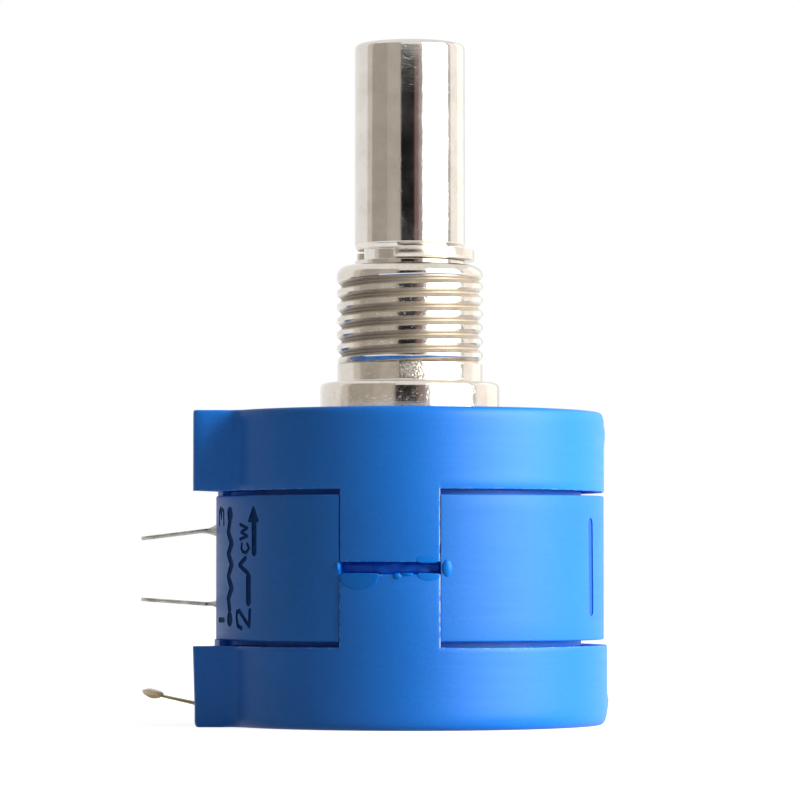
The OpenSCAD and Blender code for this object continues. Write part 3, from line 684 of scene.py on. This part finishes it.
def bent(shape, finish):
    """A flat shape laid round the sleeve, where X runs round it, Y up and Z out, with numbered faces."""
    welded(shape)
    bmesh.ops.triangulate(shape, faces=shape.faces)
    for v in shape.verts:
        round_by, out = -math.pi / 2 - v.co.x / PAD_R, PAD_R + v.co.z
        v.co = (out * math.cos(round_by), out * math.sin(round_by), v.co.y)
    for f in shape.faces:
        f.material_index = finish
    return outward(shape)


def punch(marks):
    """The strokes of some marks joined into one solid and laid round the sleeve."""
    shape = None
    for corners, width in marks:
        for ends in zip(corners, corners[1:]):
            line = stroke(ends, width, STAMP_DEEP)
            shape = combined(shape, line, "UNION") if shape else line
    print("a punch has", len(shape.faces), "faces")
    return bent(shape, INK_AND_SHADE)


# %% Mould mark and stamping
# The last two marks make a numeral near the edge, which has a punch of its own
# The mould groove's walls and floor take the darker finish, painted shade in the groove
groove = bent(stroke([(-66.2, 11.4), (-66.7, 6.56)], 0.68, GROOVE_DEEP), GROOVE)
for cutter in (groove, punch(MARKS[-2:]), punch(MARKS[:-2])):
    sleeve = combined(sleeve, cutter, "DIFFERENCE")
bmesh.ops.remove_doubles(sleeve, verts=sleeve.verts, dist=0.0001)
closed_ends(sleeve)
done(sleeve, "element_sleeve", [sleeve_polyester, stamp_ink_and_shade, shaded_groove_polyester],
     "element_housing", sharp=30)

# %% [markdown]
# ## The bushing
# The bushing is one turned piece: a lip that holds it in the front cap, a flange, a plain shank, a thread
# and a rounded nose. The thread is a true helix. Its rows are swept as plain rings, and each column is
# then raised by its share of the pitch. Where the helix meets the shank or the nose, rows are clamped
# together and weld.

# %% Bushing
CREST_R, SHANK_R, NOSE_R, PITCH, DEEP = 4.2, 4.17, 3.52, 0.794, 0.28
SHANK_TOP, NOSE_FROM, NOSE_TOP, CREST_AT = 20.58, 25.7, 26.28, 23.5
HOLE_R, LIP_R, SEAT_R, FLANGE_R = 3.205, 5, 4.65, 5.15
LIP_LOW, LIP_HIGH, FLANGE_TOP = 15.7, 16.2, 19.53
# Rows of points in one pitch, and the height where they wait above the part until each gets its place
ROWS, WAIT = 20, 30


def thread_radius(row, height):
    """Radius of a row of the thread, faded into the shank below and the nose above."""
    if height <= SHANK_TOP:
        return SHANK_R
    away = abs((row / ROWS + 0.5) % 1 - 0.5)
    fade = min(1, max(0, (NOSE_FROM - 0.05 - height) / 0.25))
    radius = CREST_R - DEEP * fade * min(1, max(0, (away - 0.15) / 0.3))
    # The thread runs out into a shallow undercut above the shank
    radius = min(radius, SHANK_R - 0.1 + (height - SHANK_TOP) * 0.36)
    if height > NOSE_FROM:
        share = (height - NOSE_FROM) / (NOSE_TOP - NOSE_FROM)
        radius = min(radius, NOSE_R + (CREST_R - NOSE_R) * math.sqrt(max(0, 1 - share ** 2)))
    return radius


first = math.floor((SHANK_TOP - PITCH - CREST_AT) / PITCH * ROWS)
last = math.ceil((NOSE_TOP - CREST_AT) / PITCH * ROWS)
rows = list(range(first, last + 1))
lower = eased([(HOLE_R, LIP_LOW), (LIP_R, LIP_LOW), (LIP_R, LIP_HIGH), (SEAT_R, LIP_HIGH), (SEAT_R, BODY_H),
               (FLANGE_R, BODY_H, 0.05), (FLANGE_R, FLANGE_TOP, 0.35), (SHANK_R, FLANGE_TOP, 0.12),
               (SHANK_R, SHANK_TOP)])
upper = eased([(NOSE_R, NOSE_TOP), (HOLE_R, NOSE_TOP, 0.06), (HOLE_R, LIP_LOW)])
line = lower + [Vector((CREST_R, WAIT + i)) for i in range(len(rows))] + upper
# The full turn stays unmerged here: its last column stands a whole pitch above the first, then welds
bushing, last_column = swept(line, 240)
last_column = set(last_column)
for v in bushing.verts:
    if v.co.z > WAIT - 1:
        turn = polar(v)[1]
        row = rows[round(v.co.z - WAIT)]
        turn = 360 if v in last_column else turn % 360 if abs(turn) > 0.1 else 0
        height = CREST_AT + (row / ROWS + turn / 360) * PITCH
        height = min(NOSE_TOP, max(SHANK_TOP, height))
        out = thread_radius(row, height)
        turn = math.radians(turn)
        v.co = (out * math.cos(turn), out * math.sin(turn), height)
done(bushing, "threaded_bushing", [bushing_nickel], "bushing", sharp=40)

# %% [markdown]
# ## The shaft and its clip
# The shaft runs right through the bushing to the rear cap. Its core has two flats that drive the rotor. In
# front of the nose a groove takes a stamped clip, a ring with an open mouth, which stops the shaft from
# being pushed in.

# %% Shaft
SHAFT_R, CORE_R, CORE_FLAT, PIVOT_R, RELIEF_R, GROOVE_R = 3.175, 2.4, 2.1, 1.5, 3.11, 2.63
SHAFT_TOP, GROOVE_LOW, GROOVE_HIGH, CORE_LOW, CORE_HIGH, SHAFT_LOW = 39.05, 26.54, 27.18, 3.0, 15.85, 0.85
shaft_line = eased([(0, SHAFT_TOP), (1.5, SHAFT_TOP), (SHAFT_R, SHAFT_TOP, 0.34), (SHAFT_R, 27.46, 0.05),
                    (RELIEF_R, 27.38), (RELIEF_R, GROOVE_HIGH, 0.03), (GROOVE_R, GROOVE_HIGH, 0.05),
                    (GROOVE_R, GROOVE_LOW, 0.05), (SHAFT_R, GROOVE_LOW, 0.05), (SHAFT_R, CORE_HIGH),
                    (CORE_R, CORE_HIGH), (CORE_R, CORE_LOW), (PIVOT_R, CORE_LOW), (PIVOT_R, SHAFT_LOW),
                    (0, SHAFT_LOW)])
shaft = turned(shaft_line, 192)
for v in shaft.verts:
    if CORE_LOW - 0.1 < v.co.z < CORE_HIGH + 0.05 and polar(v)[0] < CORE_R + 0.1:
        v.co.y = max(-CORE_FLAT, min(CORE_FLAT, v.co.y))
done(shaft, "ground_shaft", [shaft_nickel], "shaft", "shaft_and_rotor", sharp=50)

# %% Retaining clip
CLIP_IN, CLIP_OUT, CLIP_LOW, CLIP_HIGH = 2.65, 3.7, 26.56, 27.16
# The clip starts at this angle and goes round by this much, which leaves its mouth open
CLIP_START, CLIP_SWEEP = 254, 254


def is_corner(edge):
    """True for an edge where two faces meet at more than 1 radian."""
    return edge.is_manifold and edge.calc_face_angle() > 1


def is_upright(edge):
    """True for an edge that climbs."""
    return abs(edge.verts[0].co.z - edge.verts[1].co.z) > 0.1


clip = turned([(CLIP_IN, CLIP_LOW), (CLIP_OUT, CLIP_LOW), (CLIP_OUT, CLIP_HIGH), (CLIP_IN, CLIP_HIGH),
               (CLIP_IN, CLIP_LOW)], 100, CLIP_START, CLIP_SWEEP)
welded(clip)
closed_ends(clip)
welded(clip)
rounded(clip, [e for e in clip.edges if is_upright(e) and is_corner(e)], 0.45, 6)
rounded(clip, [e for e in clip.edges if is_corner(e)], 0.035, 2)
done(clip, "retaining_ring", [clip_nickel], "retaining_clip", "shaft_and_rotor", sharp=50)

# %% [markdown]
# ## The terminals
# The end terminals are flat tongues with a round end and an eyelet. A tongue is a flat cube whose two
# outer corners are beveled until they meet in a half circle, and the eyelet is punched. Solder and flux
# climb a little way out of the body along each tongue, so a flare stands round its root: a turned
# trumpet, drawn wide to fit the strip. The wiper terminal is an outline of its edge, pulled out sideways.

# %% Terminals
STRIP_T, STRIP_W, EYELET_R = 0.2, 1.6, 0.45
# A tongue leaves the sleeve at this X and reaches this far out, and its flare starts inside the wall
TONGUE_X, TONGUE_REACH, FLARE_X = -11.65, 3.75, -11.03


def block(shape, low, high):
    """Adds a cuboid between two corners."""
    for v in bmesh.ops.create_cube(shape, size=1)["verts"]:
        v.co = [low[i] if v.co[i] < 0 else high[i] for i in range(3)]


def flare(long, tall, tilt, height):
    """The solder's trumpet round a tongue's root, lying along the tongue."""
    profile = [(0.1 + tall * (k / 8) ** 2.4, long * (1 - k / 8)) for k in range(9)]
    shape = welded(turned([(0, long)] + profile + [(0, 0)], 32))
    for v in shape.verts:
        out = polar(v)[0]
        v.co.y *= (out + 0.68) / max(out, 0.01)
    tilted(shape, shape.verts, tilt / 2 - 90, "Y")
    bmesh.ops.translate(shape, vec=(FLARE_X, 0, height), verts=shape.verts)
    return shape


def tongue(height, tilt, flare_long, flare_tall, inner_low, inner_high):
    """An end terminal: the tongue outside, its root in the wall, the solid's part inside, and the flare."""
    tip = TONGUE_REACH / math.cos(math.radians(tilt)) - STRIP_W / 2
    far = -tip - STRIP_W / 2
    shape = bmesh.new()
    block(shape, (far, -STRIP_W / 2, -STRIP_T / 2), (0.12, STRIP_W / 2, STRIP_T / 2))
    corners = [e for e in shape.edges if all(v.co.x < far + 0.01 for v in e.verts) and is_upright(e)]
    rounded(shape, corners, STRIP_W / 2 - 0.01, 14)
    hole = bmesh.new()
    bmesh.ops.create_cone(hole, cap_ends=True, segments=28, radius1=EYELET_R, radius2=EYELET_R, depth=1,
                          matrix=Matrix.Translation((-tip, 0, 0)))
    shape = combined(shape, hole, "DIFFERENCE")
    for f in shape.faces:
        f.material_index = 0
    rounded(shape, [e for e in shape.edges if is_corner(e)], 0.04, 2)
    tilted(shape, shape.verts, tilt, "Y")
    bmesh.ops.translate(shape, vec=(TONGUE_X, 0, height), verts=shape.verts)
    block(shape, (TONGUE_X - 0.03, -STRIP_W / 2, height - STRIP_T / 2),
          (-9.0, STRIP_W / 2, height + STRIP_T / 2))
    block(shape, inner_low, inner_high)
    spare = as_mesh(flare(flare_long, flare_tall, tilt, height))
    shape.from_mesh(spare)
    bpy.data.meshes.remove(spare)
    return shape


for name, stands_for, *sizes in (("rear_tongue", "terminal_1", 6.88, 4, 0.6, 0.14),
                                 ("front_tongue", "terminal_3", 11.08, -7, 1.1, 0.28)):
    box_low, box_high = (Vector(c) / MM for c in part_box(stands_for))
    shape = tongue(*sizes, (-9.1, box_low.y, box_low.z), (-8.9, box_high.y, box_high.z))
    done(shape, name, [tinned_brass], stands_for, sharp=35)

# %% Wiper terminal
# Corners of the strip seen from its edge; the last third is folded back under itself and pinched
TIP = [(-12.2, 1.27), (-14.2, 1.84), (-14.9, 2.08, 0.3), (-15.32, 1.98, 0.1), (-15.26, 1.78, 0.1),
       (-14.75, 1.46, 0.25), (-14.3, 1.52, 0.1), (-14.1, 1.66), (-12.2, 1.1)]
# The straight part inside the block runs between these X at this height
INSIDE_FROM, INSIDE_TO, INSIDE_Z = -12.3, -5.3, 1.2
strip = bmesh.new()
for point in eased(TIP, 4):
    strip.verts.new((point.x, STRIP_W / 2, point.y))
bmesh.ops.contextual_create(strip, geom=strip.verts[:])
grown = bmesh.ops.extrude_face_region(strip, geom=strip.faces[:])["geom"]
bmesh.ops.translate(strip, vec=(0, -STRIP_W, 0), verts=verts_in(grown))
outward(strip)
rims = [e for e in strip.edges if is_corner(e) and min(v.co.x for v in e.verts) < INSIDE_FROM]
rounded(strip, rims, 0.06, 3)
block(strip, (INSIDE_FROM, -STRIP_W / 2, INSIDE_Z - STRIP_T / 2),
      (INSIDE_TO, STRIP_W / 2, INSIDE_Z + STRIP_T / 2))
done(strip, "wiper_tongue", [part_tinned_shaded_brass], "terminal_2", sharp=40)

# %% [markdown]
# ## Cement in the seams
# The caps are joined by cement between the tips of facing legs. It sinks in the middle of the seam and
# stands in beads at the ends. Each seam is a swept bar whose outer face is pushed about by noise, with
# a few squashed balls for beads and smears, fused into one skin by a voxel remesh.

# %% Cement
# Half the seam's length in degrees, and the heights of the legs' tips that a smear must not cross
SEAM_HALF, LOWER_TIP, UPPER_TIP = 14.6, 8.62, 9.18
VOXEL = 0.032


def cement(turn, beads, seed):
    """The cement of the seam that many degrees round from +X."""
    line = eased([(9.92, 8.5), (10.5, 8.5), (10.92, 8.58), (11.0, 8.74), (10.98, 8.9), (11.0, 9.06),
                  (10.92, 9.22), (10.5, 9.3), (9.92, 9.3), (9.92, 8.5)])
    shape = welded(turned(line, 120, turn - SEAM_HALF, 2 * SEAM_HALF))
    closed_ends(shape)
    for v in shape.verts:
        out, at = polar(v)
        if out > 10.6:
            sink = 0.36 + 0.1 * noise.noise(Vector((at * 0.25, v.co.z * 2, seed)))
            v.co.x *= (out - sink) / out
            v.co.y *= (out - sink) / out
    for along, height, wide, tall, proud, out in beads:
        ball = bmesh.ops.create_icosphere(shape, subdivisions=3, radius=1)["verts"]
        a = math.radians(turn + along)
        bmesh.ops.scale(shape, vec=(proud, wide, tall), verts=ball)
        tilted(shape, ball, turn + along, "Z")
        bmesh.ops.translate(shape, vec=(out * math.cos(a), out * math.sin(a), height), verts=ball)
        # A smear lies on one cap only, so it stops at the seam
        for v in ball:
            if height < 8.8:
                v.co.z = min(v.co.z, LOWER_TIP)
            elif height > 9.1:
                v.co.z = max(v.co.z, UPPER_TIP)
    spare = placed("spare", as_mesh(shape))
    fuse = spare.modifiers.new("fuse", "REMESH")
    fuse.mode, fuse.voxel_size = "VOXEL", VOXEL
    fused = applied(spare)
    for _ in range(2):
        bmesh.ops.smooth_vert(fused, verts=fused.verts, factor=0.5, use_axis_x=True, use_axis_y=True,
                              use_axis_z=True)
    return fused


# A bead or smear: degrees along the seam, height, half width, half height, half depth, middle's radius
FRONT_BEADS = [(-15, 8.96, 0.16, 0.27, 0.18, 11.08), (16.4, 8.9, 0.3, 0.5, 0.15, 11.06),
               (-8.6, 8.5, 1.15, 0.84, 0.07, 11.18), (11.1, 8.5, 0.66, 0.34, 0.05, 11.18),
               (10.9, 9.38, 0.7, 0.28, 0.045, 11.09), (2.3, 8.47, 0.24, 0.18, 0.12, 11.18),
               (5.2, 8.6, 0.32, 0.14, 0.12, 11.18)]
BACK_BEADS = [(-13.8, 8.9, 0.25, 0.35, 0.12, 11.08), (12.5, 8.8, 0.4, 0.3, 0.1, 11.08),
              (4, 8.5, 0.9, 0.5, 0.07, 11.18)]
for name, stands_for, *sizes in (("front_seam_bead", "seam_cement_front", -96, FRONT_BEADS, 4),
                                 ("back_seam_bead", "seam_cement_back", 96, BACK_BEADS, 11)):
    done(cement(*sizes), name, [seam_epoxy], stands_for, sharp=180)

# %% [markdown]
# ## Finishes for the pieces inside
# The pieces inside keep the shape of their solids, and only get their real finish.

# %% Inner finishes
INNER = ((washer_nylon, "thrust_washer"), (rotor_phenolic, "rotor"), (carriage_acetal, "wiper_carriage"),
         (contact_metal, "slip_ring", "collector_strip", "wiper_contact", "brush"),
         (wound_wire, "resistance_element"), (tinned_brass, "element_clip_front", "element_clip_rear"))
for finish, *names in INNER:
    for name in names:
        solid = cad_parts[name]
        solid.data.materials.clear()
        solid.data.materials.append(finish)
    print(finish.name, "is on", *names)

# %% [markdown]
# ## Floor, world and lamp
# The part stands on a pale floor in front of a white backdrop. The backdrop is bright for the camera and
# for reflections, and dim as a lamp, so it doesn't wash the plastic out. One large soft lamp stands
# to the right.


# %% World and floor
def seen_directly(tree):
    """1 where the camera, a mirror or glass looks straight at it, and 0 where it only sends light."""
    seen = add(tree, "ShaderNodeLightPath").outputs
    direct = seen["Is Camera Ray"]
    for rays in ("Is Glossy Ray", "Is Transmission Ray"):
        direct = add(tree, "ShaderNodeMath", {0: direct, 1: seen[rays]}, operation="MAXIMUM").outputs[0]
    return direct


world = bpy.data.worlds.new("white_backdrop")
bpy.context.scene.world = world
world.use_nodes = True
tree = world.node_tree
backdrop = tree.nodes["Background"]
strength = add(tree, "ShaderNodeMapRange", {"Value": seen_directly(tree), "To Min": 0.13, "To Max": 1.0})
wired(tree, backdrop, Strength=strength.outputs["Result"])
backdrop.inputs["Color"].default_value = (1, 1, 1, 1)

floor_paint, tree, shader, where = new_finish(
    "pale_bench_top", Roughness=0.8, Base_Color=(0.32, 0.32, 0.32, 1), Emission_Color=(0.87, 0.87, 0.87, 1))
wired(tree, shader, Emission_Strength=seen_directly(tree))
top = bmesh.new()
bmesh.ops.create_grid(top, x_segments=1, y_segments=1, size=4)
bench = placed("bench_top", as_mesh(top, "bench_top"))
bench.data.materials.append(floor_paint)
bench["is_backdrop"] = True
print("the floor is at height", bench.location.z)

# %% Lamp
LAMP_SIZE, LAMP_WATTS = 0.45, 8.2
LAMP_TURN, LAMP_AWAY, LAMP_UP, AIM_UP = 75, 0.55, 0.17, 0.015
lamp_data = bpy.data.lights.new("soft_box", "AREA")
lamp_data.shape, lamp_data.energy = "RECTANGLE", LAMP_WATTS
lamp_data.size = lamp_data.size_y = LAMP_SIZE
lamp = placed("soft_box", lamp_data)
lamp.visible_glossy = False
turn = math.radians(LAMP_TURN)
lamp.location = (LAMP_AWAY * math.sin(turn), -LAMP_AWAY * math.cos(turn), LAMP_UP)
lamp.rotation_euler = (Vector((0, 0, AIM_UP)) - lamp.location).to_track_quat("-Z", "Y").to_euler()
print("the lamp is", lamp_data.energy, "W")

# %% [markdown]
# ## Cards for the metal
# Metal shows what stands round it. So ten cards that only reflections see stand round the part, as flags
# and panels do in a studio: grey ones to the left, a black one near the camera, and white ones to the
# right.

# %% Cards that only reflections see
CARD_LOW, CARD_OUT, TALL, SHORT = -0.02, 0.7, 0.5, 0.21


def card(name, start, end, colour, strength, high):
    """An upright strip of a cylinder round the part, from start to end degrees right of the camera."""
    mesh = as_mesh(turned([(CARD_OUT, CARD_LOW), (CARD_OUT, high)], 24, start - 90, end - start), name)
    paint = bpy.data.materials.new(name)
    paint.use_nodes = True
    tree = paint.node_tree
    glow = add(tree, "ShaderNodeEmission", {"Color": linear(colour), "Strength": strength})
    wired(tree, tree.nodes["Material Output"], Surface=glow.outputs["Emission"])
    mesh.materials.append(paint)
    made = placed(name, mesh)
    made.visible_camera = made.visible_diffuse = made.visible_transmission = made.visible_shadow = False
    made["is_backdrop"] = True


CARDS = (("wall_card", -100, -86, "FFF8EE", 0.74, TALL), ("grey_card", -86, -48, "FFF6EA", 0.47, TALL),
         ("pale_card", -48, -19, "FFF6EA", 0.56, TALL), ("dark_flag", -19, 9.5, "F4F4FF", 0.012, SHORT),
         ("red_card", 9.5, 18, "FFC8BC", 0.25, SHORT), ("dim_card", 18, 28, "F6F2FF", 0.42, SHORT),
         ("key_card", 28, 85, "FFFAF2", 7.5, TALL), ("gap_card", 85, 94, "F4F8FF", 0.62, TALL),
         ("white_card", 94, 118, "FFF8F4", 1.3, TALL), ("side_card", 118, 150, "FFFAF4", 1.6, TALL))
for sizes in CARDS:
    card(*sizes)
print(len(CARDS), "cards stand round the part")

# %% [markdown]
# ## The view transform and the sizes
# The view transform stays plain, and the boxes of the solids and of the dressed part are printed
# together.

# %% Finish
bpy.context.scene.view_settings.view_transform = "Standard"
now_low, now_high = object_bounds()
sizes = {"cad": [list(cad_low), list(cad_high)], "visual": [list(now_low), list(now_high)]}
print(sizes)
